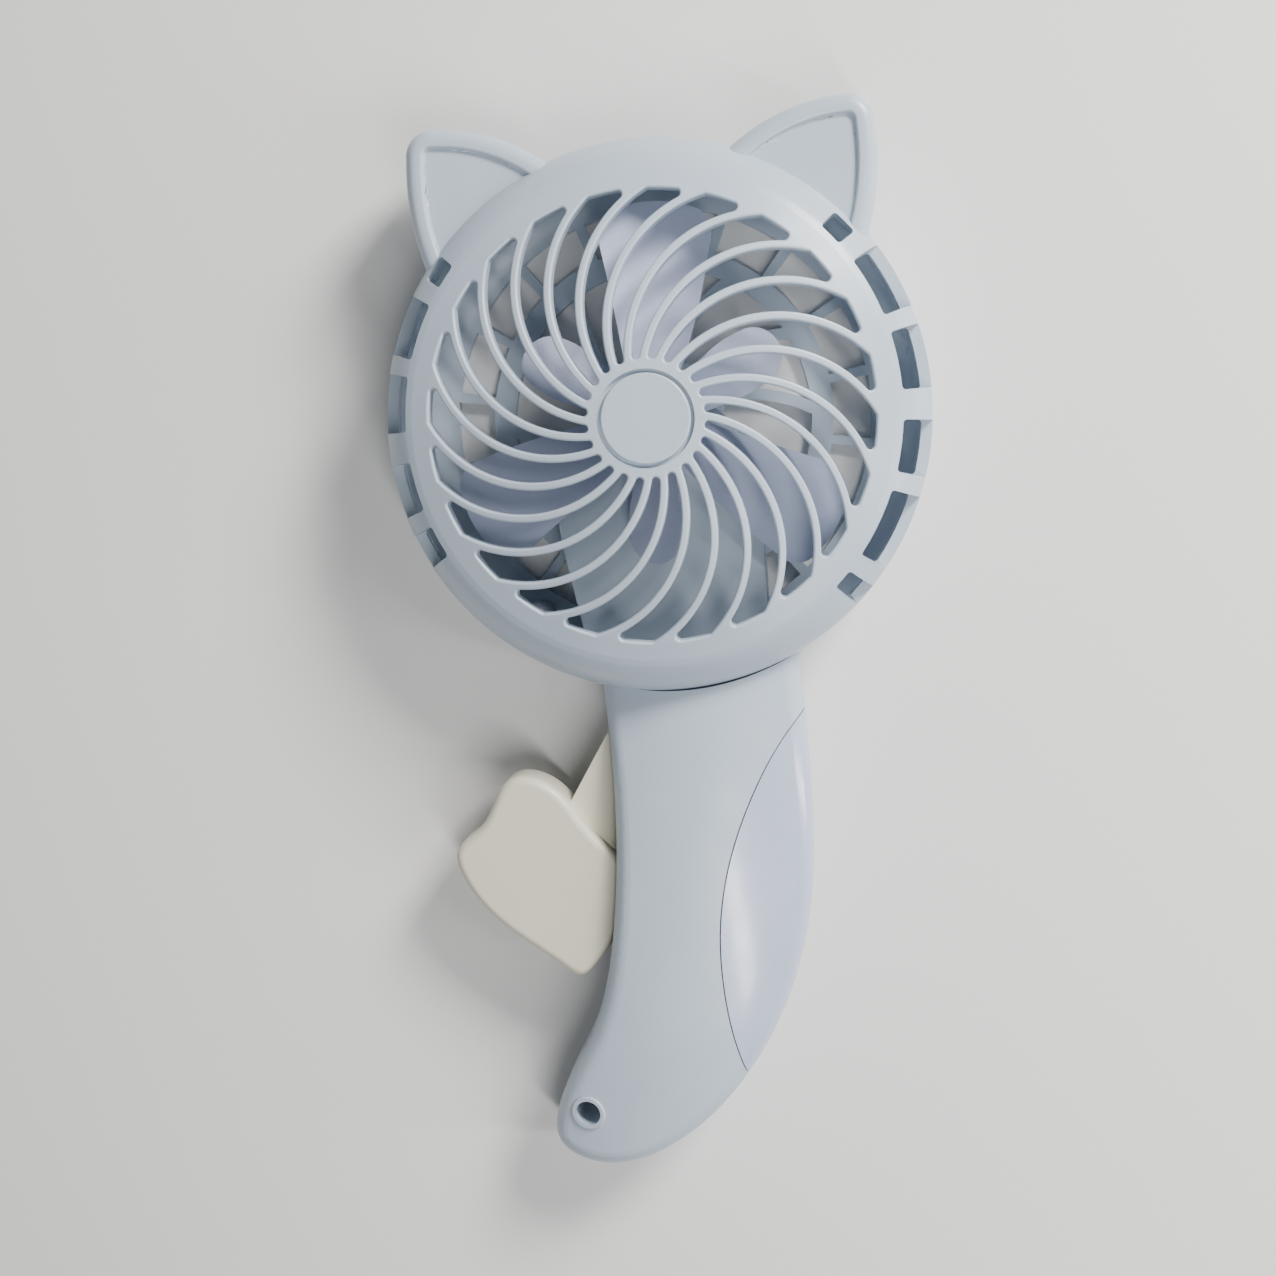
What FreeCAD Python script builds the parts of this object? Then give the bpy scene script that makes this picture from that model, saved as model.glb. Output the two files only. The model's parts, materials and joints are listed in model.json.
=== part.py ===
import FreeCAD, Part
import math
import os

# Squeeze-lever hand fan with a round head, two cat ears and a curved handle.
# It lies on its back: +Z is the fan axis towards the front, +Y points from the handle to the ears,
# and the origin is where the fan axis meets the flat back of the rear grille. Millimetres.

Vec = FreeCAD.Vector
Z_AXIS = Vec(0, 0, 1)

# ---------------------------------------------------------------- driving dimensions
RIM_R = 51.0                 # outer radius of the head
RIM_WALL = 2.2
RIM_Z = 15.0                 # joint plane between front grille and rear shell
HUB_Z = 34.8                 # front face of the grille's hub plate
DOME_R = 116.0               # sphere radius of the domed grille
DOME_EDGE_R = 44.0           # where the dome turns down into the shoulder
GRILLE_DEPTH = 3.0

RIB_COUNT = 24
RIB_W = 1.4
RIB_ARC_R = 24.0             # every rib is an arc of this radius through the fan axis
RIB_START_DEG = 11.5
SLOT_IN_R = 10.4
SLOT_OUT_R = 40.4
SLOT_CORNER_R = 0.8
SLOT_END_R = 0.45
RIB_EDGE_R = 0.4             # rounding of the ribs' front edges
CAP_R = 8.0
CAP_PEG_R = 2.0
CAP_POCKET_R = 8.7
CAP_POCKET_DEPTH = 1.3
BOTTOM_BOSS_R = 2.4          # grille's bosses for the two screws beside the neck
BOTTOM_BOSS_TOP_Z = 22.6
HEAD_SCREW_END_Z = 19.2
CAP_SINK = 0.33              # the cap's face below the dome's top, level with the plate round it

# the shoulder is cut away between hooked tabs, down to a low ring that carries them
WINDOW_IN_R = 45.2
WINDOW_OUT_R = 48.9
WINDOW_SILL_Z = 16.6
WINDOW_CORNER_R = 0.7
WINDOW_SPANS = ((-45.6, -40.6), (-36.2, -19.8), (-15.6, -3.8), (2.8, 16.0), (19.9, 34.0),
                (149.4, 162.6), (166.6, 179.4), (186.4, 198.0), (202.0, 210.0))
EAR_WINDOW_SPANS = ((38.8, 44.6), (139.0, 145.0))    # closed outside by the ears

EAR_TOP_Z = 21.4
EAR_BACK_Z = 8.0
EAR_WALL = 2.0
EAR_EDGE_R = 2.4
EAR_PANEL_DROP = 0.9
EAR_BORDER = 3.6             # width of the raised border round the sunk panel
EAR_BORDER_R = 0.6

PARTING_Z = 10.0             # joint plane of the two handle halves
CROWN_Z = 22.0               # highest line of the handle's front
CROWN_RIDGE = (-1.0, -98.0)  # where that line is highest
CROWN_TURN_DEG = -14.0       # direction of the ridge in plan, off the Y axis
CROWN_CROSS_R = 52.0
BARREL_HALF_ANGLE = math.radians(40)
OUTLINE_STEPS = 30
CROWN_LENGTH_R = 320.0
BACK_LENGTH_R = 600.0
BACK_Z = 0.3
FRONT_EDGE_R = 4.0
BACK_EDGE_R = 3.0
SHELL_WALL = 2.6
PANEL_T = 1.4
PANEL_SEAM = 0.25

HEAD_GAP = 0.1               # between the front shell and the head's rim
SEAT_CLEARANCE = 0.15        # round the handle and housing where they sit in the head
HOUSING_WALL = 1.6
HOUSING_TOP_Z = 14.5
HOUSING_ROOF_Z = 12.9
FLOOR_T = 1.6

LANYARD_AT = (-21.5, -134.0)
LANYARD_R = 2.5
LANYARD_BOSS_R = 4.2
LANYARD_LIP_R = 3.4
LANYARD_LIP_H = 0.4

# gear train: sector -> gear 1 -> gear 2 -> fan pinion
PRESSURE = math.radians(25)
ADDENDUM = 0.7
DEDENDUM = 0.9
BACKLASH = 0.14
SECTOR_M = 0.8
SECTOR_TEETH = 45            # teeth of the full circle that the sector is cut from
WHEEL_M = 0.6
WHEEL_TEETH = 36
PINION_TEETH = 10
GEAR2_DIR = math.radians(-111.25)    # from the fan axis to gear 2
GEAR1_DIR = math.radians(-41.5)      # from gear 2 to gear 1
LEVER_DIR = math.radians(-90.9)      # from gear 1 to the lever's pivot
STEP_DISTANCE = WHEEL_M * (WHEEL_TEETH + PINION_TEETH) / 2
SECTOR_DISTANCE = SECTOR_M * (SECTOR_TEETH + PINION_TEETH) / 2
FIT = 0.05                   # radial clearance of a running fit
AXLE_R = 1.0
SHAFT_R = 1.25
LEVER_PIN_R = 1.5
PIN_END_Z = 3.2              # lower end of the lever's pin, above the curved side of the head
PIN_BOSS_Z = 4.4
AXLE_Z = (0.8, 14.0)
WASHER_Z = (1.9, 2.3)
WASHER_R = 2.2
BUSH_R = 2.6
SHAFT_Z = (1.0, 29.0)

ARM_Z = (8.4, 12.6)
SECTOR_Z = (9.8, 12.2)
PAD_Z = (6.5, 15.6)
ARM_SLOT_Z = (7.9, 13.1)
PAD_SLOT_Z = (6.0, 16.1)
NECK_FLOOR_Z = 7.3           # under the lever where it passes through the neck
PAD_EDGE_R = 1.6
BUMPER_AT = (-10.0, -50.9)
BUMPER_R = 1.8
SPRING_POST_AT = (13.2, -50.0)
SPRING_LUG_AT = (-4.6, -52.0)
SPRING_LUG_Z = 7.6
SPRING_COIL_R = 3.9
SPRING_WIRE_R = 0.4
SPRING_PITCH = 0.9
SPRING_TURNS = 3

RATCHET_TEETH = 6
RATCHET_Z = 6.2
RATCHET_H = 0.9
RATCHET_R = 4.2

BLADE_T = 1.5
BLADE_MID_Z = 20.1
HUB_R = 8.2
HUB_BASE_Z = 15.6
HUB_TOP_Z = 27.6
BIG_BLADE_DEG = (86, 206, 326)
SMALL_BLADE_DEG = (28, 148, 268)

# ---------------------------------------------------------------- small helpers


def polar(radius, angle, centre=(0, 0)):
    return Vec(centre[0] + radius * math.cos(angle), centre[1] + radius * math.sin(angle), 0)


def at_z(point, z):
    return Vec(point[0], point[1], z)


def cylinder(radius, z0, z1, at=(0, 0)):
    return Part.makeCylinder(radius, z1 - z0, at_z(at, z0), Z_AXIS)


def ring(outer_r, inner_r, z0, z1, at=(0, 0)):
    return cylinder(outer_r, z0, z1, at).cut(cylinder(inner_r, z0 - 1, z1 + 1, at))


def prism(wire, z0, z1):
    face = Part.Face(wire)
    face.translate(Vec(0, 0, z0))
    return face.extrude(Vec(0, 0, z1 - z0))


def polygon(points):
    return Part.makePolygon([at_z(p, 0) for p in points] + [at_z(points[0], 0)])


def line(a, b):
    return Part.LineSegment(a, b).toShape()


def arc(a, b, c):
    return Part.Arc(a, b, c).toShape()


def spline(points, closed=False):
    curve = Part.BSplineCurve()
    curve.interpolate([at_z(p, 0) for p in points], PeriodicFlag=closed)
    return curve.toShape()


def revolve(edges):
    return Part.Face(Part.Wire(edges)).revolve(Vec(0, 0, 0), Z_AXIS, 360)


def fuse(shapes):
    """Join the shapes one after another."""
    body = shapes[0]
    for shape in shapes[1:]:
        body = body.fuse(shape)
    return body.removeSplitter()


def carve(shape, tools):
    """Cut the tools away one after another."""
    for tool in tools:
        shape = shape.cut(tool)
    return shape


def rounded(shape, radius, picks):
    edges = [e for e in shape.Edges if picks(e)]
    return shape.makeFillet(radius, edges) if edges else shape


def turned(shape, degrees, centre=(0, 0)):
    copy = shape.copy()
    copy.rotate(at_z(centre, 0), Z_AXIS, degrees)
    return copy


def mirrored_x(shape):
    return shape.mirror(Vec(0, 0, 0), Vec(1, 0, 0))


NODES = {}


def keep(name, shape):
    NODES[name] = shape


# ---------------------------------------------------------------- places worked out from the above

GEAR2_AT = polar(STEP_DISTANCE, GEAR2_DIR)
GEAR1_AT = polar(STEP_DISTANCE, GEAR1_DIR, GEAR2_AT)
PIVOT = polar(SECTOR_DISTANCE, LEVER_DIR, GEAR1_AT)

HANDLE_SCREWS = ((17.5, -60.0), (18.2, -95.0), (9.0, -119.5), (-16.5, -123.5))
HOUSING_SCREWS = ((-12.9, -33.0), (10.5, -6.0))
EAR_SCREWS = ((35.5, 46.5), (-35.5, 46.5))
BOTTOM_SCREWS = ((26.5, -37.0), (-26.5, -37.0))
SCREW_R = 1.1
SCREW_HEAD_R = 2.3
SCREW_HEAD_T = 1.6
SCREW_END_Z = 13.6
SCREW_FACE_Z = 3.2           # driving face of every shell screw
EAR_SCREW_FACE_Z = 9.0
BOSS_R = 3.0
COUNTERBORE_R = 2.6

# ---------------------------------------------------------------- outlines of the handle and housing


def handle_outline(inset=0.0):
    """Closed outline of the handle, from the neck down the left side, round the tip and up again."""
    side = [(-14.6, -44), (-12.6, -68), (-14.0, -96), (-19.8, -118), (-27.4, -132.5),
            (-28.3, -141.6), (-21.0, -145.7), (-8.0, -143.2), (9.5, -128.5), (20.4, -109),
            (24.9, -88), (25.2, -66), (24.3, -44)]
    curve = Part.BSplineCurve()
    curve.interpolate([at_z(p, 0) for p in side])
    points = []
    for k in range(OUTLINE_STEPS + 1):
        where = curve.FirstParameter + (curve.LastParameter - curve.FirstParameter) * k / OUTLINE_STEPS
        tangent = curve.tangent(where)[0]
        points.append(curve.value(where) + Vec(-tangent.y, tangent.x, 0) * inset)
    edge = spline(points) if inset else curve.toShape()
    return Part.Wire([edge, line(points[-1], points[0])])


def housing_outline(inset=0.0):
    neck_left = Vec(-14.4, -49.6, 0)
    wide_left = Vec(-19.5, -22, 0)
    crown_left = Vec(-6.6, 6.1, 0)
    crown_right = Vec(6.6, 6.1, 0)
    wide_right = Vec(18.8, -20, 0)
    waist_right = Vec(18.8, -38, 0)
    neck_right = Vec(23.8, -49.6, 0)
    wire = Part.Wire([
        line(neck_left, wide_left),
        arc(wide_left, Vec(-17.2, -6.5, 0), crown_left),
        arc(crown_left, Vec(0, 9, 0), crown_right),
        arc(crown_right, Vec(16.2, -6.5, 0), wide_right),
        line(wide_right, waist_right),
        line(waist_right, neck_right),
        line(neck_right, neck_left)])
    return wire.makeOffset2D(-inset) if inset else wire


def crown_barrel(z_far, length_r, cross_r, up):
    """A barrel whose outside touches z_far along the handle's ridge; its seam is on the far side."""
    turn = math.radians(CROWN_TURN_DEG)
    axis = Vec(math.cos(turn), math.sin(turn), 0)
    centre = at_z(CROWN_RIDGE, z_far - up * length_r)
    away = Vec(0, 0, -up)
    tube = centre + away * (length_r - cross_r)
    half_w = cross_r * math.sin(BARREL_HALF_ANGLE)
    shoulder = away * (cross_r * math.cos(BARREL_HALF_ANGLE))
    left, right = tube - axis * half_w + shoulder, tube + axis * half_w + shoulder
    profile = Part.Wire([
        line(centre - axis * half_w, left),
        arc(left, tube + away * cross_r, right),
        line(right, centre + axis * half_w),
        line(centre + axis * half_w, centre - axis * half_w)])
    return Part.Face(profile).revolve(centre, axis, 360)


def handle_solid(inset=0.0, rounded_edge=None):
    """The whole handle, front and back crowned, every face set in by the inset, one long edge rounded."""
    body = prism(handle_outline(inset), -10, 40)
    cross_r = CROWN_CROSS_R - inset
    body = body.common(crown_barrel(CROWN_Z - inset, CROWN_LENGTH_R - inset, cross_r, 1))
    body = body.common(crown_barrel(BACK_Z + inset, BACK_LENGTH_R - inset, cross_r, -1))

    def long_edge(edge):
        middle = edge.CenterOfMass
        on_front = middle.z > PARTING_Z
        return edge.Length > 60 and middle.y < -60 and on_front == (rounded_edge == "front")

    if rounded_edge == "front":
        return rounded(body, FRONT_EDGE_R - inset, long_edge)
    if rounded_edge == "back":
        return rounded(body, BACK_EDGE_R - inset, long_edge)
    return body


def slab(z0, z1):
    return Part.makeBox(400, 400, z1 - z0, Vec(-200, -200, z0))


# ---------------------------------------------------------------- swirl of slots


def rib_edge(start_deg, arc_r, rho, radius):
    """Point at a distance from the axis on the rib edge of radius rho."""
    centre_angle = math.radians(start_deg - 90)
    cosine = (radius ** 2 + arc_r ** 2 - rho ** 2) / (2 * arc_r * radius)
    return polar(radius, centre_angle + math.acos(cosine))


def swirl_slot(start_deg, count, arc_r, rib_w, in_r, out_r):
    """Outline of the gap between one curved rib and the next one, with a rounded inner end."""
    first = (start_deg, arc_r, arc_r + rib_w / 2)
    second = (start_deg + 360 / count, arc_r, arc_r - rib_w / 2)
    mid_r = (in_r + out_r) / 2
    shoulder_r = in_r + 0.65
    inner_a = rib_edge(*first, shoulder_r)
    inner_b = rib_edge(*second, shoulder_r)
    outer_a = rib_edge(*first, out_r)
    outer_b = rib_edge(*second, out_r)
    inner_mid = (inner_a + inner_b).normalize() * in_r
    outer_mid = (outer_a + outer_b).normalize() * out_r
    return Part.Wire([
        arc(inner_a, rib_edge(*first, mid_r), outer_a),
        arc(outer_a, outer_mid, outer_b),
        arc(outer_b, rib_edge(*second, mid_r), inner_b),
        arc(inner_b, inner_mid, inner_a)])


def sector_wire(in_r, out_r, start_deg, end_deg):
    a, b = math.radians(start_deg), math.radians(end_deg)
    mid = (a + b) / 2
    return Part.Wire([
        line(polar(in_r, a), polar(out_r, a)),
        arc(polar(out_r, a), polar(out_r, mid), polar(out_r, b)),
        line(polar(out_r, b), polar(in_r, b)),
        arc(polar(in_r, b), polar(in_r, mid), polar(in_r, a))])


def upright(edge):
    a, b = edge.Vertexes[0].Point, edge.Vertexes[-1].Point
    return math.hypot(a.x - b.x, a.y - b.y) < 1e-6 and abs(a.z - b.z) > 0.5


def plan_r(edge):
    """Distance of an edge's middle from the fan axis."""
    return math.hypot(edge.CenterOfMass.x, edge.CenterOfMass.y)


# ---------------------------------------------------------------- front grille


def dome_z(radius):
    return HUB_Z - DOME_R + math.sqrt(DOME_R ** 2 - radius ** 2)


def side_point(radius, z):
    return Vec(radius, 0, z)


def grille_body():
    inner_edge_r = DOME_EDGE_R - 1.8
    return revolve([
        arc(side_point(0, HUB_Z), side_point(22, dome_z(22)), side_point(DOME_EDGE_R, dome_z(DOME_EDGE_R))),
        arc(side_point(DOME_EDGE_R, dome_z(DOME_EDGE_R)), side_point(49.3, 21.5), side_point(RIM_R, RIM_Z)),
        line(side_point(RIM_R, RIM_Z), side_point(RIM_R - RIM_WALL, RIM_Z)),
        arc(side_point(RIM_R - RIM_WALL, RIM_Z), side_point(47.2, 20.0),
            side_point(inner_edge_r, dome_z(inner_edge_r) - GRILLE_DEPTH)),
        arc(side_point(inner_edge_r, dome_z(inner_edge_r) - GRILLE_DEPTH),
            side_point(22, dome_z(22) - GRILLE_DEPTH), side_point(0, HUB_Z - GRILLE_DEPTH)),
        line(side_point(0, HUB_Z - GRILLE_DEPTH), side_point(0, HUB_Z))])


def ear_outline(inset=0.0):
    """Right ear: long outer side, round tip, gently bowed top, closed inside the head."""
    foot = Vec(38.6, 25, 0)
    side_top = Vec(42.7, 50, 0)
    tip_end = Vec(37.2, 55, 0)
    top_end = Vec(12, 43, 0)
    wire = Part.Wire([
        arc(foot, Vec(42.6, 39.5, 0), side_top),
        arc(side_top, Vec(41.2, 53.6, 0), tip_end),
        arc(tip_end, Vec(25.6, 52.6, 0), top_end),
        line(top_end, foot)])
    return wire.makeOffset2D(-inset) if inset else wire


def ear_solid(z0, z1, edge_z):
    body = prism(ear_outline(), z0, z1)
    return rounded(body, EAR_EDGE_R, lambda e: abs(e.CenterOfMass.z - edge_z) < 0.01
                   and math.hypot(e.CenterOfMass.x, e.CenterOfMass.y) > 50)


def slotted_dome():
    """Dome with its swirl of slots, the front edges of the ribs rounded."""
    step = 360 / RIB_COUNT
    slots = []
    for k in range(RIB_COUNT):
        outline = swirl_slot(RIB_START_DEG + step * k, RIB_COUNT, RIB_ARC_R, RIB_W, SLOT_IN_R, SLOT_OUT_R)
        slot = prism(outline, 10, 50)
        slot = rounded(slot, SLOT_CORNER_R, lambda e: upright(e) and plan_r(e) > SLOT_OUT_R / 2)
        slots.append(rounded(slot, SLOT_END_R, lambda e: upright(e) and plan_r(e) < SLOT_OUT_R / 2))

    def on_front(edge):
        first, last = edge.FirstParameter, edge.LastParameter
        points = [edge.valueAt(first + (last - first) * share) for share in (0, 0.5, 1)]
        return SLOT_IN_R - 1 < plan_r(edge) < SLOT_OUT_R + 1 and all(
            abs(p.z - dome_z(math.hypot(p.x, p.y))) < 0.02 for p in points)

    return rounded(grille_body().cut(slots), RIB_EDGE_R, on_front)


def front_grille():
    body = slotted_dome()
    ear = ear_solid(RIM_Z, EAR_TOP_Z, EAR_TOP_Z)
    panel_z = EAR_TOP_Z - EAR_PANEL_DROP
    panel = prism(ear_outline(EAR_BORDER), panel_z, EAR_TOP_Z + 5)
    panel = rounded(panel, 1.2, upright)
    soft_panel = rounded(panel, 0.4, lambda e: abs(e.CenterOfMass.z - panel_z) < 0.01)
    ear = rounded(ear.cut(soft_panel), EAR_BORDER_R, lambda e: abs(e.CenterOfMass.z - EAR_TOP_Z) < 0.01
                  and panel.isInside(e.valueAt((e.FirstParameter + e.LastParameter) / 2), 0.01, True))
    hollow = prism(ear_outline(EAR_WALL), RIM_Z - 1, panel_z - 1.6)
    ear = carve(ear, [hollow, cylinder(RIM_R - RIM_WALL + 0.3, 10, 40)])
    boss = cylinder(BOSS_R, RIM_Z, panel_z - 1.0, EAR_SCREWS[0])
    ear = ear.fuse(boss)
    body = fuse([body, ear, mirrored_x(ear)])
    for place in BOTTOM_SCREWS:
        body = body.fuse(cylinder(BOTTOM_BOSS_R, RIM_Z, BOTTOM_BOSS_TOP_Z, place))
    pocket = cylinder(CAP_POCKET_R, HUB_Z - CAP_POCKET_DEPTH, HUB_Z + 2)
    peg_hole = cylinder(CAP_PEG_R, HUB_Z - GRILLE_DEPTH - 1, HUB_Z)
    pilots = [cylinder(SCREW_R, 10, HEAD_SCREW_END_Z, place) for place in EAR_SCREWS + BOTTOM_SCREWS]
    windows = [window(*span) for span in WINDOW_SPANS] + [ear_window(*span) for span in EAR_WINDOW_SPANS]
    return carve(body, windows + [pocket, peg_hole] + pilots)


def window(start_deg, end_deg):
    """Gap between two tabs: right through inside the low ring, and open outwards above it."""
    inner = prism(sector_wire(WINDOW_IN_R, WINDOW_OUT_R, start_deg, end_deg), 10, WINDOW_SILL_Z + 1)
    outer = prism(sector_wire(WINDOW_IN_R, RIM_R + 2, start_deg, end_deg), WINDOW_SILL_Z, 50)
    inner = rounded(inner, WINDOW_CORNER_R, upright)
    outer = rounded(outer, WINDOW_CORNER_R, lambda e: upright(e) and plan_r(e) < RIM_R)
    return inner.fuse(outer)


def ear_window(start_deg, end_deg):
    return rounded(prism(sector_wire(WINDOW_IN_R, WINDOW_OUT_R, start_deg, end_deg), 10, 50), WINDOW_CORNER_R, upright)


def hub_cap():
    seat_z = HUB_Z - CAP_POCKET_DEPTH
    disc = cylinder(CAP_R, seat_z, HUB_Z - CAP_SINK)
    disc = rounded(disc, 0.35, lambda e: e.CenterOfMass.z > seat_z + 0.5 and e.Length > CAP_R)
    return disc.fuse(cylinder(CAP_PEG_R, HUB_Z - GRILLE_DEPTH, seat_z)).removeSplitter()


# ---------------------------------------------------------------- handle shells


def panel_region(shift=0.0):
    """Plan area of the glossy insert: everything right of its curved edge."""
    top_y, bottom_y, beside_x = -53.8, -131.0, 45.0
    edge = [(27.4, top_y), (20.7, -60.9), (14.8, -70.5), (9.5, -83.6), (6.9, -97.5),
            (6.9, -108.0), (8.7, -120.9), (12.0, bottom_y)]
    points = [(x - shift, y) for x, y in edge]
    top, bottom = Vec(beside_x, top_y, 0), Vec(beside_x, bottom_y, 0)
    return Part.Wire([spline(points), line(at_z(points[-1], 0), bottom),
                      line(bottom, top), line(top, at_z(points[0], 0))])


def lever_slot():
    """Opening in the handle's left side, low for the arm and taller for the pad."""
    arm = prism(polygon([(-60, -56), (-3, -56), (-3, -76), (-60, -76)]), *ARM_SLOT_Z)
    pad = prism(polygon([(-60, -74), (-3, -74), (-3, -113.5), (-60, -113.5)]), *PAD_SLOT_Z)
    return arm.fuse(pad)


def neck_passage(z0, z1):
    """Clear way for the lever between the handle and the gear housing."""
    return prism(polygon([(-11.6, -62), (20.6, -62), (19.8, -44), (-12.4, -44)]), z0, z1)


def handle_bosses(z0, z1):
    pillars = [cylinder(BOSS_R, z0, z1, place) for place in HANDLE_SCREWS]
    return pillars + [cylinder(LANYARD_BOSS_R, z0, z1, LANYARD_AT)]


def screw_cuts(places, face_z, top_z):
    cuts = []
    for place in places:
        cuts.append(cylinder(COUNTERBORE_R, -1, face_z + SCREW_HEAD_T, place))
        cuts.append(cylinder(SCREW_R + 0.1, -1, top_z, place))
    return cuts


def lanyard_lip(proud):
    """Low rim round the lanyard hole that follows the crowned face."""
    lip = proud.common(cylinder(LANYARD_LIP_R, PARTING_Z + 2, 60, LANYARD_AT))
    return rounded(lip, LANYARD_LIP_H * 0.6,
                   lambda e: e.CenterOfMass.z > PARTING_Z + 3 and e.Length > 2 * LANYARD_LIP_R)


def front_shell(outer, proud, under_panel, inner):
    front = fuse([outer.common(slab(PARTING_Z, 60)), lanyard_lip(proud)])
    recess = prism(panel_region(PANEL_SEAM), PARTING_Z + 0.4, 60).cut(under_panel)
    front = carve(front, [recess, cylinder(RIM_R + HEAD_GAP, RIM_Z - HEAD_GAP, 60)])
    cover = prism(housing_outline(), PARTING_Z, HOUSING_TOP_Z)
    front = fuse([front, cover])
    hollow = [inner.common(slab(PARTING_Z - 1, 60)).cut(cylinder(RIM_R + 2.4, HOUSING_ROOF_Z, 60)),
              prism(housing_outline(HOUSING_WALL), PARTING_Z - 1, HOUSING_ROOF_Z),
              neck_passage(PARTING_Z - 1, HOUSING_ROOF_Z)]
    front = carve(front, hollow)
    pillars = [p.common(outer) for p in handle_bosses(PARTING_Z, CROWN_Z - 3.5)]
    pillars = [p.cut(recess) for p in pillars]
    pillars += [cylinder(BOSS_R, PARTING_Z, HOUSING_ROOF_Z, place) for place in HOUSING_SCREWS]
    pillars += [ring(BUSH_R, AXLE_R, HOUSING_ROOF_Z - 0.2, HOUSING_ROOF_Z, at) for at in (GEAR1_AT, GEAR2_AT)]
    front = fuse([front] + pillars)
    cuts = [cylinder(SCREW_R, 9, SCREW_END_Z, place) for place in HANDLE_SCREWS + HOUSING_SCREWS]
    cuts += [cylinder(AXLE_R, 9, AXLE_Z[1], at) for at in (GEAR1_AT, GEAR2_AT)]
    cuts.append(cylinder(LEVER_PIN_R, 9, AXLE_Z[1], PIVOT))
    cuts.append(cylinder(BUSH_R, 9, 60))
    cuts.append(cylinder(LANYARD_R, -5, 60, LANYARD_AT))
    cuts.append(lever_slot())
    return carve(front, cuts)


def grip_panel(outer, under_panel):
    return outer.common(prism(panel_region(), PARTING_Z + 0.6, 60)).cut(under_panel)


def dish_fill(inset):
    """The head's back half as one solid, its outer faces set in by the inset."""
    side_r = RIM_R - inset
    foot = side_point(40 - inset / 2, inset)
    return revolve([
        line(side_point(0, inset), foot),
        arc(foot, side_point(47.8 - 0.8 * inset, 3.2 + 0.8 * inset), side_point(side_r, 10)),
        line(side_point(side_r, 10), side_point(side_r, RIM_Z + 1)),
        line(side_point(side_r, RIM_Z + 1), side_point(0, RIM_Z + 1)),
        line(side_point(0, RIM_Z + 1), side_point(0, inset))])


def dish():
    """Back of the head: flat rear grille, curved side and upright rim."""
    body = revolve([
        line(side_point(0, 0), side_point(40, 0)),
        arc(side_point(40, 0), side_point(47.8, 3.2), side_point(RIM_R, 10)),
        line(side_point(RIM_R, 10), side_point(RIM_R, RIM_Z)),
        line(side_point(RIM_R, RIM_Z), side_point(RIM_R - RIM_WALL, RIM_Z)),
        line(side_point(RIM_R - RIM_WALL, RIM_Z), side_point(RIM_R - RIM_WALL, 10.4)),
        arc(side_point(RIM_R - RIM_WALL, 10.4), side_point(46.2, 4.8), side_point(39.4, 2.0)),
        line(side_point(39.4, 2.0), side_point(0, 2.0)),
        line(side_point(0, 2.0), side_point(0, 0))])
    outer = [prism(sector_wire(33.2, 40.4, 20 * k - 8.6, 20 * k + 8.6), -2, 6) for k in range(18)]
    inner = [prism(swirl_slot(30 * k, 12, 30.0, 2.2, 12.0, 29.0), -2, 6) for k in range(12)]
    return body.cut(outer + inner)


def rear_ear():
    ear = ear_solid(EAR_BACK_Z, RIM_Z, EAR_BACK_Z)
    hollow = prism(ear_outline(EAR_WALL), EAR_BACK_Z + 2, RIM_Z + 1)
    ear = ear.cut([hollow, cylinder(RIM_R - 0.6, 0, 40)])
    return ear.fuse(cylinder(BOSS_R, EAR_BACK_Z, RIM_Z, EAR_SCREWS[0]))


def rear_shell(outer, inner):
    ear = rear_ear()
    head = fuse([dish(), ear, mirrored_x(ear)])
    head = fuse([head] + [cylinder(3.2, 0.6, RIM_Z, place) for place in BOTTOM_SCREWS])
    neck = prism(handle_outline(-SEAT_CLEARANCE), PARTING_Z, 60).common(cylinder(60, PARTING_Z, 60))
    head = carve(head, [neck, prism(housing_outline(-SEAT_CLEARANCE), PARTING_Z, 60)])
    handle = outer.common(slab(-5, PARTING_Z))
    housing = prism(housing_outline(), 0, PARTING_Z).common(dish_fill(0))
    body = fuse([head, handle, housing])
    hollow = [inner.common(slab(-5, PARTING_Z + 1)),
              prism(housing_outline(HOUSING_WALL), FLOOR_T, PARTING_Z + 1).common(dish_fill(FLOOR_T)),
              neck_passage(NECK_FLOOR_Z, PARTING_Z + 1),
              cylinder(3.4, PIN_BOSS_Z, PARTING_Z + 1, PIVOT)]
    body = carve(body, hollow)
    pillars = [p.common(outer) for p in handle_bosses(2, PARTING_Z)]
    pillars += [cylinder(BOSS_R + 0.4, 0, PARTING_Z, place) for place in HOUSING_SCREWS]
    pillars += [ring(WASHER_R, AXLE_R, FLOOR_T, WASHER_Z[0], at) for at in (GEAR1_AT, GEAR2_AT)]
    pillars.append(cylinder(3.0, FLOOR_T + 0.4, PIN_BOSS_Z, PIVOT))
    pillars.append(cylinder(1.0, 5, PARTING_Z, BUMPER_AT))
    pillars.append(cylinder(1.3, FLOOR_T, 6.4, SPRING_POST_AT))
    body = fuse([body] + pillars)
    cuts = screw_cuts(HANDLE_SCREWS + HOUSING_SCREWS, SCREW_FACE_Z, PARTING_Z + 1)
    cuts += screw_cuts(BOTTOM_SCREWS, SCREW_FACE_Z, RIM_Z + 1)
    for place in EAR_SCREWS:
        cuts.append(cylinder(COUNTERBORE_R, 5, EAR_SCREW_FACE_Z + SCREW_HEAD_T, place))
        cuts.append(cylinder(SCREW_R + 0.1, 5, RIM_Z + 1, place))
    cuts += [cylinder(AXLE_R, AXLE_Z[0], 9, at) for at in (GEAR1_AT, GEAR2_AT)]
    cuts.append(cylinder(LEVER_PIN_R, PIN_END_Z, 9, PIVOT))
    cuts.append(cylinder(BUSH_R, 0.6, 9))
    cuts.append(cylinder(LANYARD_R, -5, 60, LANYARD_AT))
    cuts.append(lever_slot())
    return carve(body, cuts)


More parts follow.
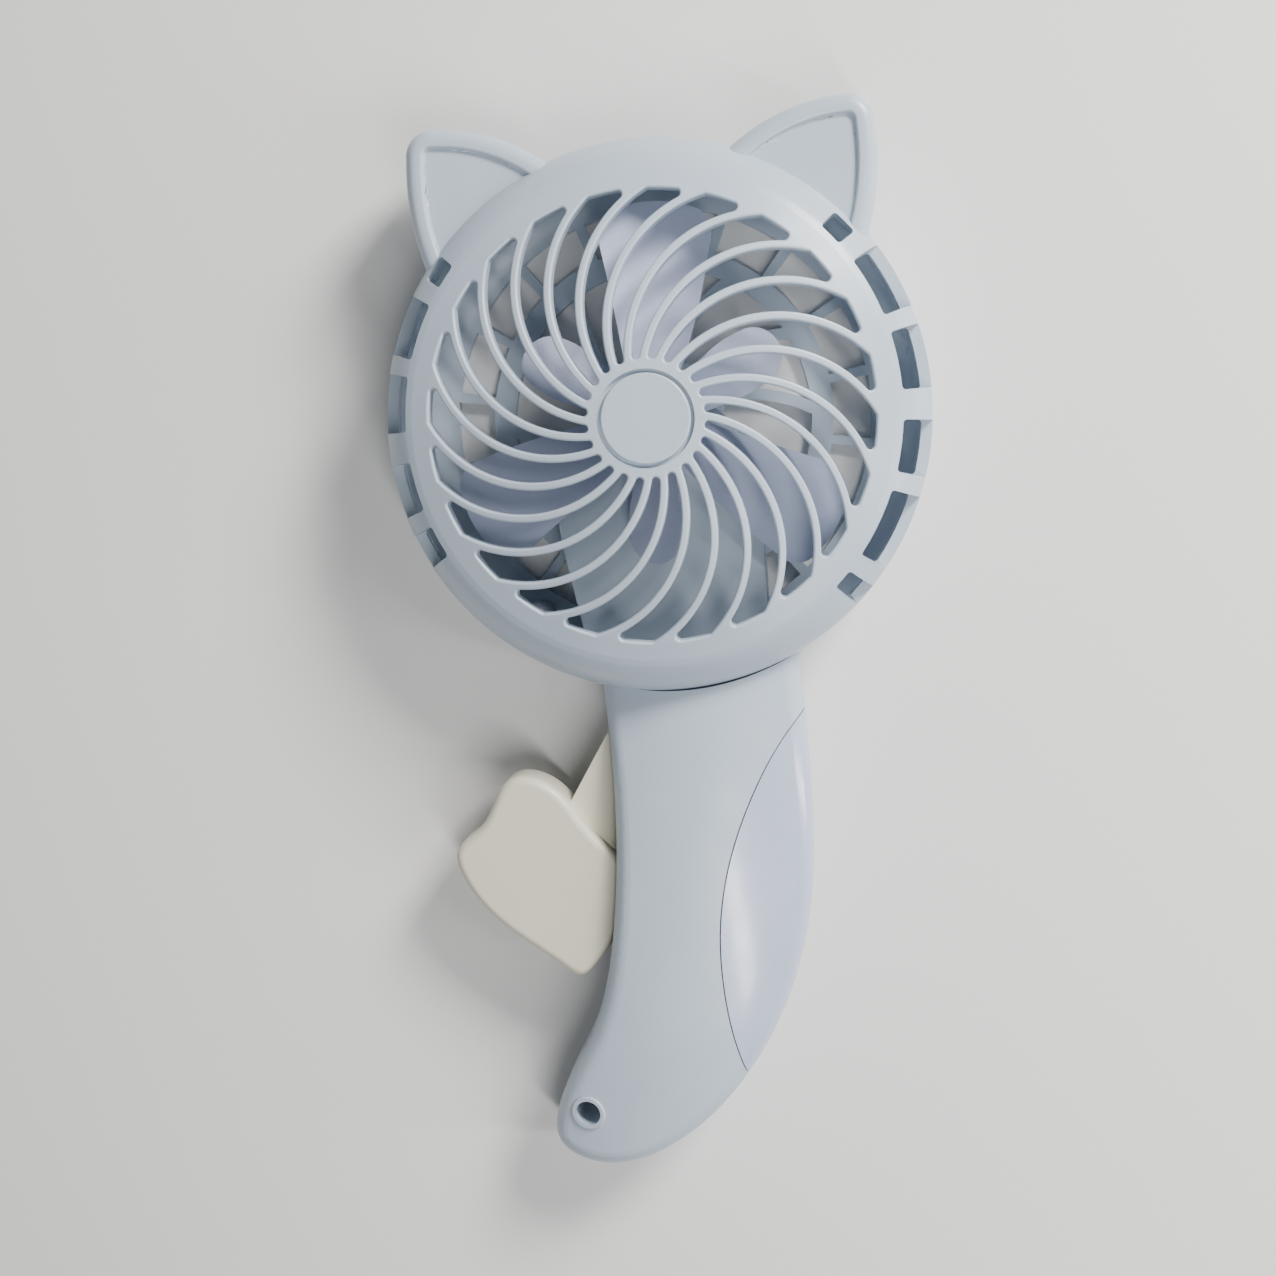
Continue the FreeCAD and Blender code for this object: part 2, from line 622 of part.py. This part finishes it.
# ---------------------------------------------------------------- gears


def involute(angle):
    return math.tan(angle) - angle


def gear_wire(module, teeth, phase, centre, flank_steps=4):
    """Outline of a spur gear with one tooth's middle at the angle phase."""
    pitch_r = module * teeth / 2
    base_r = pitch_r * math.cos(PRESSURE)
    tip_r = pitch_r + ADDENDUM * module
    root_r = pitch_r - DEDENDUM * module
    start_r = max(base_r, root_r)
    half_pitch = math.pi / (2 * teeth) - BACKLASH / (4 * pitch_r) + involute(PRESSURE)

    def half_angle(radius):
        return half_pitch - involute(math.acos(min(1.0, base_r / radius)))

    radii = [start_r + (tip_r - start_r) * k / flank_steps for k in range(flank_steps + 1)]
    points = []
    for tooth in range(teeth):
        middle = phase + 2 * math.pi * tooth / teeth
        if root_r < base_r:
            points.append(polar(root_r, middle - half_angle(base_r), centre))
        points += [polar(r, middle - half_angle(r), centre) for r in radii]
        points += [polar(r, middle + half_angle(r), centre) for r in reversed(radii)]
        if root_r < base_r:
            points.append(polar(root_r, middle + half_angle(base_r), centre))
    return polygon([(p.x, p.y) for p in points])


def meeting_phase(angle_to_me, teeth):
    """Phase that puts a gap, not a tooth, on the line from the driving gear."""
    return angle_to_me + math.pi + math.pi / teeth


SECTOR_PHASE = LEVER_DIR + math.pi
GEAR1_WHEEL_PHASE = GEAR1_DIR + math.pi
GEAR2_WHEEL_PHASE = GEAR2_DIR + math.pi


def compound_gear_1():
    phase = meeting_phase(SECTOR_PHASE, PINION_TEETH)
    pinion = prism(gear_wire(SECTOR_M, PINION_TEETH, phase, GEAR1_AT), 8.4, 12.2)
    wheel = prism(gear_wire(WHEEL_M, WHEEL_TEETH, GEAR1_WHEEL_PHASE, GEAR1_AT), 6.4, 8.4)
    hub = cylinder(2.1, 2.4, 6.4, GEAR1_AT)
    return fuse([pinion, wheel, hub]).cut(cylinder(AXLE_R + FIT, 0, 20, GEAR1_AT))


def compound_gear_2():
    phase = meeting_phase(GEAR1_WHEEL_PHASE, PINION_TEETH)
    pinion = prism(gear_wire(WHEEL_M, PINION_TEETH, phase, GEAR2_AT), 4.6, 8.8)
    wheel = prism(gear_wire(WHEEL_M, WHEEL_TEETH, GEAR2_WHEEL_PHASE, GEAR2_AT), 2.6, 4.6)
    hub = cylinder(2.1, 8.8, 12.2, GEAR2_AT).fuse(cylinder(2.1, 2.4, 2.6, GEAR2_AT))
    return fuse([pinion, wheel, hub]).cut(cylinder(AXLE_R + FIT, 0, 20, GEAR2_AT))


def ratchet_teeth(z_base, height):
    """Ring of saw teeth that stand up from z_base, steep on one side."""
    tooth_angle = 2 * math.pi / RATCHET_TEETH
    teeth = []
    for k in range(RATCHET_TEETH):
        a = k * tooth_angle
        b = a + tooth_angle * 0.96
        inner_a, outer_a = polar(2.0, a), polar(RATCHET_R, a)
        inner_b, outer_b = polar(2.0, b), polar(RATCHET_R, b)
        corners = [at_z(inner_a, z_base), at_z(outer_a, z_base), at_z(outer_b, z_base), at_z(inner_b, z_base),
                   at_z(inner_b, z_base + height), at_z(outer_b, z_base + height)]
        sides = [(0, 1, 2, 3), (3, 2, 5, 4), (0, 4, 5), (0, 5, 1), (0, 3, 4), (1, 5, 2)]
        faces = [Part.Face(Part.makePolygon([corners[i] for i in side + (side[0],)])) for side in sides]
        teeth.append(Part.Solid(Part.Shell(faces)))
    return teeth


def fan_pinion():
    phase = meeting_phase(GEAR2_WHEEL_PHASE, PINION_TEETH)
    body = prism(gear_wire(WHEEL_M, PINION_TEETH, phase, (0, 0)), 2.6, 5.2)
    body = fuse([body, cylinder(RATCHET_R, 5.2, RATCHET_Z)] + ratchet_teeth(RATCHET_Z, RATCHET_H))
    return body.cut(cylinder(SHAFT_R, 0, 20))


def clutch_dog():
    blank = cylinder(RATCHET_R, RATCHET_Z, RATCHET_Z + 2.4)
    blank = blank.fuse(cylinder(2.3, RATCHET_Z + 2.4, 9.6))
    return blank.cut([cylinder(SHAFT_R, 0, 20), cylinder(2.0, RATCHET_Z - 1, RATCHET_Z + RATCHET_H + 0.2)]
                     + ratchet_teeth(RATCHET_Z, RATCHET_H))


def coil(radius, wire_r, z0, turns, pitch, at=(0, 0)):
    helix = Part.makeHelix(pitch, pitch * turns, radius)
    start = Part.Wire(Part.makeCircle(wire_r, Vec(radius, 0, 0), Vec(0, 1, 0)))
    body = Part.Wire(helix.Edges).makePipeShell([start], True, True)
    body.translate(at_z(at, z0))
    return body


# ---------------------------------------------------------------- lever


def pad_outline():
    """Fin: round top corner, straight inner side, blunt lower corner, bowed outside, hollow top edge."""
    around = [(-35.7, -70.4), (-31.4, -67.0), (-25.3, -68.8), (-17.0, -79.0), (-10.4, -87.6), (-11.0, -93.4),
              (-18.4, -104.9), (-21.6, -107.3), (-24.9, -105.5), (-36.6, -96.4), (-43.6, -87.0),
              (-44.5, -81.3), (-40.2, -77.4)]
    return Part.Wire([spline(around, closed=True)])


def squeeze_lever():
    pad = prism(pad_outline(), *PAD_Z)
    pad = rounded(pad, PAD_EDGE_R, lambda e: not upright(e) and e.Length > 50)
    arm_wire = Part.Wire([
        line(Vec(-22.0, -73.4, 0), Vec(-12.3, -57.6, 0)),
        arc(Vec(-12.3, -57.6, 0), Vec(-6.2, -49.6, 0), Vec(1.2, -41.0, 0)),
        line(Vec(1.2, -41.0, 0), Vec(9.4, -45.6, 0)),
        arc(Vec(9.4, -45.6, 0), Vec(-2.2, -60.2, 0), Vec(-11.6, -89.0, 0)),
        line(Vec(-11.6, -89.0, 0), Vec(-22.0, -73.4, 0))])
    arm = prism(arm_wire, *ARM_Z)
    hub = cylinder(5.2, ARM_Z[0], ARM_Z[1], PIVOT).fuse(cylinder(2.8, PIN_BOSS_Z + 0.2, ARM_Z[0], PIVOT))
    blank = prism(gear_wire(SECTOR_M, SECTOR_TEETH, SECTOR_PHASE, PIVOT), *SECTOR_Z)
    half_tooth = math.pi / SECTOR_TEETH
    low = SECTOR_PHASE - 9 * half_tooth
    high = SECTOR_PHASE + 3 * half_tooth
    wedge = polygon([tuple(PIVOT)[:2], tuple(polar(40, low, PIVOT))[:2], tuple(polar(40, high, PIVOT))[:2]])
    teeth = blank.common(prism(wedge, *SECTOR_Z))
    lever = fuse([pad, arm, hub, teeth, cylinder(1.0, SPRING_LUG_Z, ARM_Z[0], SPRING_LUG_AT)])
    return lever.cut(cylinder(LEVER_PIN_R + FIT, 0, 20, PIVOT))


def return_spring():
    """Coil about the lever's hub."""
    return coil(SPRING_COIL_R, SPRING_WIRE_R, PIN_BOSS_Z + 0.6, SPRING_TURNS, SPRING_PITCH, PIVOT)


# ---------------------------------------------------------------- impeller


def blade_section(radius, chord, pitch_deg):
    """Thin rectangle across a blade that points along +X."""
    pitch = math.radians(pitch_deg)
    along = Vec(0, math.cos(pitch), math.sin(pitch)) * (chord / 2)
    across = Vec(0, -math.sin(pitch), math.cos(pitch)) * (BLADE_T / 2)
    centre = Vec(radius, 0, BLADE_MID_Z)
    low, high = centre - across, centre + across
    corners = [low - along, low + along, high + along, high - along]
    return Part.makePolygon(corners + [corners[0]])


def big_blade():
    sections = [blade_section(r, chord, pitch) for r, chord, pitch in
                ((5.5, 14, 38), (14, 22, 32), (24, 30, 24), (34, 36, 20), (43, 38, 18))]
    twisted = Part.makeLoft(sections, True, False)
    petal = Part.Wire([
        arc(Vec(5.5, -3.4, 0), Vec(19.5, -7.6, 0), Vec(33.5, -10.0, 0)),
        arc(Vec(33.5, -10.0, 0), Vec(37.0, -8.9, 0), Vec(38.4, -6.2, 0)),
        arc(Vec(38.4, -6.2, 0), Vec(39.0, 0.0, 0), Vec(38.0, 5.4, 0)),
        arc(Vec(38.0, 5.4, 0), Vec(35.2, 8.7, 0), Vec(30.5, 9.4, 0)),
        arc(Vec(30.5, 9.4, 0), Vec(17.5, 6.4, 0), Vec(5.5, 4.0, 0)),
        line(Vec(5.5, 4.0, 0), Vec(5.5, -3.4, 0))])
    return twisted.common(prism(petal, 5, 45))


def small_blade():
    sections = [blade_section(r, chord, pitch) for r, chord, pitch in
                ((5.5, 14, 34), (17, 16, 28), (29, 18, 24))]
    twisted = Part.makeLoft(sections, True, False)
    petal = Part.Wire([
        line(Vec(5.5, -3.4, 0), Vec(14, -4.6, 0)),
        arc(Vec(14, -4.6, 0), Vec(18, -5.2, 0), Vec(21.8, -5.0, 0)),
        arc(Vec(21.8, -5.0, 0), Vec(26.6, 0, 0), Vec(21.8, 5.0, 0)),
        arc(Vec(21.8, 5.0, 0), Vec(18, 5.2, 0), Vec(14, 4.6, 0)),
        line(Vec(14, 4.6, 0), Vec(5.5, 3.4, 0)),
        line(Vec(5.5, 3.4, 0), Vec(5.5, -3.4, 0))])
    return twisted.common(prism(petal, 5, 45))


def impeller():
    hub = revolve([
        line(side_point(0, HUB_BASE_Z), side_point(HUB_R, HUB_BASE_Z)),
        line(side_point(HUB_R, HUB_BASE_Z), side_point(HUB_R, HUB_TOP_Z - 2.5)),
        arc(side_point(HUB_R, HUB_TOP_Z - 2.5), side_point(HUB_R - 0.75, HUB_TOP_Z - 0.75),
            side_point(HUB_R - 2.5, HUB_TOP_Z)),
        line(side_point(HUB_R - 2.5, HUB_TOP_Z), side_point(0, HUB_TOP_Z)),
        line(side_point(0, HUB_TOP_Z), side_point(0, HUB_BASE_Z))])
    well = ring(HUB_R - 1.6, 3.0, HUB_BASE_Z - 1, HUB_TOP_Z - 2.4)
    blades = [turned(big_blade(), a) for a in BIG_BLADE_DEG]
    blades += [turned(small_blade(), a) for a in SMALL_BLADE_DEG]
    return fuse([hub] + blades).cut([well.copy(), cylinder(SHAFT_R, 0, 60)])


# ---------------------------------------------------------------- small hardware


def screw(place, face_z, end_z):
    head = cylinder(SCREW_HEAD_R, face_z, face_z + SCREW_HEAD_T, place)
    head = rounded(head, 0.5, lambda e: abs(e.CenterOfMass.z - face_z) < 0.01 and e.Length > 10)
    x, y = place
    cross = [Part.makeBox(2.6, 0.6, 0.9, Vec(x - 1.3, y - 0.3, face_z)),
             Part.makeBox(0.6, 2.6, 0.9, Vec(x - 0.3, y - 1.3, face_z))]
    shank = cylinder(SCREW_R, face_z + SCREW_HEAD_T, end_z, place)
    return head.fuse(shank).removeSplitter().cut(cross)


def main():
    outer_front = handle_solid(0, "front")
    outer_back = handle_solid(0, "back")
    under_panel = handle_solid(PANEL_T, "front")
    inner = handle_solid(SHELL_WALL)
    keep("front_grille", front_grille())
    keep("hub_cap", hub_cap())
    keep("front_shell", front_shell(outer_front, handle_solid(-LANYARD_LIP_H, "front"), under_panel, inner))
    keep("rear_shell", rear_shell(outer_back, inner))
    keep("grip_panel", grip_panel(outer_front, under_panel))
    keep("squeeze_lever", squeeze_lever())
    keep("lever_pin", cylinder(LEVER_PIN_R, PIN_END_Z, AXLE_Z[1], PIVOT))
    keep("return_spring", return_spring())
    keep("stop_bumper", ring(BUMPER_R, 1.0, 8.2, 10.0, BUMPER_AT))
    keep("compound_gear_1", compound_gear_1())
    keep("compound_gear_2", compound_gear_2())
    keep("gear_axle_1", cylinder(AXLE_R, *AXLE_Z, GEAR1_AT))
    keep("gear_axle_2", cylinder(AXLE_R, *AXLE_Z, GEAR2_AT))
    washers = [ring(WASHER_R, AXLE_R, *WASHER_Z, at) for at in (GEAR1_AT, GEAR2_AT)]
    keep("gear_washers", Part.makeCompound(washers))
    keep("fan_pinion", fan_pinion())
    keep("clutch_dog", clutch_dog())
    keep("clutch_spring", coil(1.95, 0.3, 9.95, 2.5, 0.8))
    keep("fan_shaft", cylinder(SHAFT_R, *SHAFT_Z))
    keep("rear_bush", fuse([ring(BUSH_R, SHAFT_R + FIT, 0.6, 2.3), cylinder(BUSH_R, 0.6, 0.9)]))
    keep("front_bush", ring(BUSH_R, SHAFT_R + FIT, 12.3, 15.0))
    keep("impeller", impeller())
    cap_sleeve = ring(BUSH_R, SHAFT_R, HUB_TOP_Z, SHAFT_Z[1])
    keep("shaft_cap", fuse([cap_sleeve, cylinder(BUSH_R, SHAFT_Z[1], SHAFT_Z[1] + 0.8)]))
    shell = [screw(place, SCREW_FACE_Z, SCREW_END_Z) for place in HANDLE_SCREWS + HOUSING_SCREWS]
    keep("shell_screws", Part.makeCompound(shell))
    head = [screw(place, EAR_SCREW_FACE_Z, HEAD_SCREW_END_Z) for place in EAR_SCREWS]
    head += [screw(place, SCREW_FACE_Z, HEAD_SCREW_END_Z) for place in BOTTOM_SCREWS]
    keep("head_screws", Part.makeCompound(head))
    os.makedirs("parts", exist_ok=True)
    for name, shape in NODES.items():
        shape.exportStep("parts/" + name + ".step")
        print(name, "solids", len(shape.Solids), "valid", shape.isValid(), "volume", round(shape.Volume))


main()
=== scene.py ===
import bpy
import json
import math
from mathutils import Matrix, Vector


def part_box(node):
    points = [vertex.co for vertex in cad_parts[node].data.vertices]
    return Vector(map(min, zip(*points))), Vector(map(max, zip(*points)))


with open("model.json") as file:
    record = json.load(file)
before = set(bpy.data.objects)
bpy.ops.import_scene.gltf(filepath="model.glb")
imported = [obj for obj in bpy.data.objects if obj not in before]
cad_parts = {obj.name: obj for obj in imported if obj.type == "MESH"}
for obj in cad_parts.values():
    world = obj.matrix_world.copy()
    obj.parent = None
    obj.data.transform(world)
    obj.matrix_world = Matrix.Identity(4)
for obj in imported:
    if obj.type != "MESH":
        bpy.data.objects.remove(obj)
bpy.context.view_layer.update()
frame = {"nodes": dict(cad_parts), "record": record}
nodes = frame["nodes"]

# Looks of the squeeze-lever hand fan. Metres, in the frame of the CAD model.

MM = 0.001

# ---------------------------------------------------------------- view

CAMERA_AT = Vector((29.3, -4.4, 315.4)) * MM
CAMERA_LOOK = Vector((-0.116, -0.120, -0.986))
CAMERA_UP = Vector((0.050, 0.991, -0.126))
CAMERA_LENS_MM = 45.1
SENSOR_MM = 36.0
LIGHTS_AIM_AT = Vector((0, -0.045, 0.0))
FLOOR_SIZE = 4.0

# name, place in metres, size in metres, power in watts, tint
LIGHTS = (
    ("key", (0.46, 0.46, 0.42), (0.24, 0.24), 12.0, (1.0, 0.985, 0.965)),
    ("fill", (-0.60, -0.25, 0.50), (0.6, 0.6), 0.7, (0.93, 0.96, 1.0)),
    ("handle_strip", (0.150, -0.25, 0.50), (0.04, 0.36), 1.6, (1, 1, 1)),
    ("edge_strip", (0.46, -0.16, 0.26), (0.05, 0.40), 1.4, (1, 1, 1)),
)
SKY_COLOR = (0.86, 0.89, 0.93, 1)
SKY_STRENGTH = 0.13


def add_camera():
    data = bpy.data.cameras.new("camera")
    data.lens = CAMERA_LENS_MM
    data.sensor_width = SENSOR_MM
    data.clip_start = 0.01
    back = -CAMERA_LOOK.normalized()
    right = CAMERA_UP.cross(back).normalized()
    up = back.cross(right)
    turn = Matrix((right, up, back)).transposed().to_4x4()
    camera = bpy.data.objects.new("camera", data)
    camera.matrix_world = Matrix.Translation(CAMERA_AT) @ turn
    bpy.context.scene.collection.objects.link(camera)
    bpy.context.scene.camera = camera


def add_area_light(name, at, size, watts, tint):
    data = bpy.data.lights.new(name, "AREA")
    data.shape = "RECTANGLE"
    data.size, data.size_y = size
    data.energy = watts
    data.color = tint
    light = bpy.data.objects.new(name, data)
    place = Vector(at)
    aim = LIGHTS_AIM_AT - place
    light.matrix_world = Matrix.Translation(place) @ aim.to_track_quat("-Z", "Y").to_matrix().to_4x4()
    bpy.context.scene.collection.objects.link(light)


def add_lights():
    for light in LIGHTS:
        add_area_light(*light)
    world = bpy.data.worlds.new("studio")
    world.use_nodes = True
    background = world.node_tree.nodes["Background"]
    background.inputs["Color"].default_value = SKY_COLOR
    background.inputs["Strength"].default_value = SKY_STRENGTH
    bpy.context.scene.world = world


def add_floor():
    low_z = min(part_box(n)[0].z for n in nodes)
    bpy.ops.mesh.primitive_plane_add(size=FLOOR_SIZE, location=(0, 0, low_z))
    floor = bpy.context.object
    floor.name = "floor"
    floor.data.materials.append(floor_material())


# ---------------------------------------------------------------- materials


class Shader:
    """A Principled material with short helpers for its procedural nodes."""

    def __init__(self, name):
        self.material = bpy.data.materials.new(name)
        self.material.use_nodes = True
        self.tree = self.material.node_tree
        self.principled = self.tree.nodes["Principled BSDF"]
        self.place = self.tree.nodes.new("ShaderNodeTexCoord").outputs["Object"]

    def set(self, socket, value):
        self.principled.inputs[socket].default_value = value

    def link(self, output, socket):
        self.tree.links.new(output, self.principled.inputs[socket])

    def noise(self, scale, detail=3.0, roughness=0.5, distortion=0.0):
        node = self.tree.nodes.new("ShaderNodeTexNoise")
        node.inputs["Scale"].default_value = scale
        node.inputs["Detail"].default_value = detail
        node.inputs["Roughness"].default_value = roughness
        node.inputs["Distortion"].default_value = distortion
        self.tree.links.new(self.place, node.inputs["Vector"])
        return node.outputs["Fac"]

    def remap(self, source, low, high, to_low, to_high):
        node = self.tree.nodes.new("ShaderNodeMapRange")
        node.inputs["From Min"].default_value = low
        node.inputs["From Max"].default_value = high
        node.inputs["To Min"].default_value = to_low
        node.inputs["To Max"].default_value = to_high
        self.tree.links.new(source, node.inputs["Value"])
        return node.outputs["Result"]

    def blend(self, factor, color_a, color_b):
        node = self.tree.nodes.new("ShaderNodeMix")
        node.data_type = "RGBA"
        self.tree.links.new(factor, node.inputs["Factor"])
        for socket, color in ((node.inputs[6], color_a), (node.inputs[7], color_b)):
            if isinstance(color, tuple):
                socket.default_value = (*color, 1)
            else:
                self.tree.links.new(color, socket)
        return node.outputs[2]

    def bump(self, height, distance, strength=1.0, under=None):
        node = self.tree.nodes.new("ShaderNodeBump")
        node.inputs["Distance"].default_value = distance
        node.inputs["Strength"].default_value = strength
        self.tree.links.new(height, node.inputs["Height"])
        if under is not None:
            self.tree.links.new(under, node.inputs["Normal"])
        return node.outputs["Normal"]


def moulded_plastic(name, color, shade, roughness, grain=0.000012, specks=True):
    """Moulded plastic: cloudy colour, uneven gloss, fine grain and a few dust specks."""
    shader = Shader(name)
    cloud = shader.remap(shader.noise(38, 4), 0.35, 0.65, 0, 1)
    body = shader.blend(cloud, color, shade)
    if specks:
        dust = shader.remap(shader.noise(1500, 1), 0.74, 0.78, 0, 0.30)
        body = shader.blend(dust, body, tuple(c * 0.55 for c in shade))
    shader.link(body, "Base Color")
    smear = shader.noise(90, 5, 0.6, 0.6)
    shader.link(shader.remap(smear, 0.3, 0.7, roughness - 0.05, roughness + 0.07), "Roughness")
    waves = shader.bump(shader.noise(55, 2), 0.00018, 0.25)
    fine = shader.bump(shader.noise(2600, 2), grain, 0.6, waves)
    shader.link(fine, "Normal")
    return shader


def blue_plastic():
    shader = moulded_plastic("blue_plastic", (0.455, 0.526, 0.602), (0.425, 0.498, 0.580), 0.32)
    shader.set("IOR", 1.49)
    return shader.material


def blade_plastic():
    # Darker and more lavender than blue_plastic: painted shade for the blades sitting in shade inside
    # the head.
    shader = moulded_plastic("blade_plastic", (0.428, 0.470, 0.605), (0.400, 0.444, 0.580), 0.31)
    shader.set("IOR", 1.49)
    return shader.material


def gloss_blue_plastic():
    shader = moulded_plastic("gloss_blue_plastic", (0.450, 0.500, 0.640), (0.428, 0.478, 0.620), 0.24,
                             grain=0.000003)
    shader.set("Coat Weight", 0.35)
    shader.set("Coat Roughness", 0.12)
    return shader.material


def cream_plastic():
    shader = moulded_plastic("cream_plastic", (0.640, 0.618, 0.492), (0.610, 0.588, 0.465), 0.38)
    shader.set("Subsurface Weight", 0.08)
    shader.set("Subsurface Radius", (0.004, 0.003, 0.002))
    return shader.material


def gear_nylon():
    shader = moulded_plastic("gear_nylon", (0.72, 0.70, 0.64), (0.66, 0.64, 0.57), 0.45, specks=False)
    return shader.material


def turned_metal(name, color, roughness, ring_scale):
    """Metal with fine turning lines along its length."""
    shader = Shader(name)
    shader.set("Metallic", 1.0)
    stretch = shader.tree.nodes.new("ShaderNodeMapping")
    stretch.inputs["Scale"].default_value = (40, 40, ring_scale)
    shader.tree.links.new(shader.place, stretch.inputs["Vector"])
    shader.place = stretch.outputs["Vector"]
    lines = shader.noise(1.0, 6)
    shader.link(shader.blend(lines, color, tuple(c * 0.78 for c in color)), "Base Color")
    shader.link(shader.remap(lines, 0.3, 0.7, roughness - 0.08, roughness + 0.10), "Roughness")
    shader.link(shader.bump(lines, 0.00001, 0.5), "Normal")
    return shader.material


def rubber_black():
    shader = Shader("black_rubber")
    cloud = shader.noise(300, 3)
    shader.link(shader.blend(cloud, (0.030, 0.030, 0.032), (0.050, 0.050, 0.052)), "Base Color")
    shader.link(shader.remap(cloud, 0.3, 0.7, 0.62, 0.80), "Roughness")
    shader.link(shader.bump(shader.noise(1800, 2), 0.00003, 0.6), "Normal")
    return shader.material


def floor_material():
    shader = Shader("pale_floor")
    cloud = shader.noise(6, 3)
    shader.link(shader.blend(cloud, (0.78, 0.77, 0.75), (0.80, 0.79, 0.775)), "Base Color")
    shader.set("Roughness", 0.85)
    return shader.material


MATERIALS = {
    "blue_plastic": blue_plastic(),
    "gloss_blue_plastic": gloss_blue_plastic(),
    "cream_plastic": cream_plastic(),
    "blade_plastic": blade_plastic(),
    "gear_nylon": gear_nylon(),
    "bush_brass": turned_metal("bush_brass", (0.72, 0.52, 0.24), 0.30, 9000),
    "pin_steel": turned_metal("pin_steel", (0.62, 0.62, 0.63), 0.26, 9000),
    "spring_steel": turned_metal("spring_steel", (0.50, 0.50, 0.52), 0.34, 2500),
    "screw_steel": turned_metal("screw_steel", (0.66, 0.67, 0.69), 0.24, 6000),
    "black_rubber": rubber_black(),
}


def dress_cad_nodes():
    """Give every CAD node the material of its slot."""
    for part in frame["record"]["subparts"]:
        mesh = nodes[part["node"]].data
        mesh.materials.clear()
        mesh.materials.append(MATERIALS[part["material_slot"]])


# ---------------------------------------------------------------- soft edges

MERGE_FLATS_BELOW_DEG = 0.6
SOFTEN_ABOVE_DEG = 32
SOFT_EDGE_SEGMENTS = 3
SOFT_EDGES_MM = {
    "front_grille": 0.30,
    "hub_cap": 0.15,
    "front_shell": 0.30,
    "rear_shell": 0.30,
    "grip_panel": 0.30,
    "squeeze_lever": 0.35,
    "impeller": 0.40,
    "shaft_cap": 0.15,
    "shell_screws": 0.10,
    "head_screws": 0.10,
}


def soften_edges():
    """Break the sharp edges of the moulded parts, as a mould does, with modifiers over the CAD shape."""
    for name, width in SOFT_EDGES_MM.items():
        merge = nodes[name].modifiers.new("merge_flats", "DECIMATE")
        merge.decimate_type = "DISSOLVE"
        merge.angle_limit = math.radians(MERGE_FLATS_BELOW_DEG)
        bevel = nodes[name].modifiers.new("soft_edges", "BEVEL")
        bevel.width = width * MM
        bevel.segments = SOFT_EDGE_SEGMENTS
        bevel.limit_method = "ANGLE"
        bevel.angle_limit = math.radians(SOFTEN_ABOVE_DEG)
        shading = nodes[name].modifiers.new("even_shading", "WEIGHTED_NORMAL")
        shading.keep_sharp = False


dress_cad_nodes()
soften_edges()
add_camera()
add_lights()
add_floor()
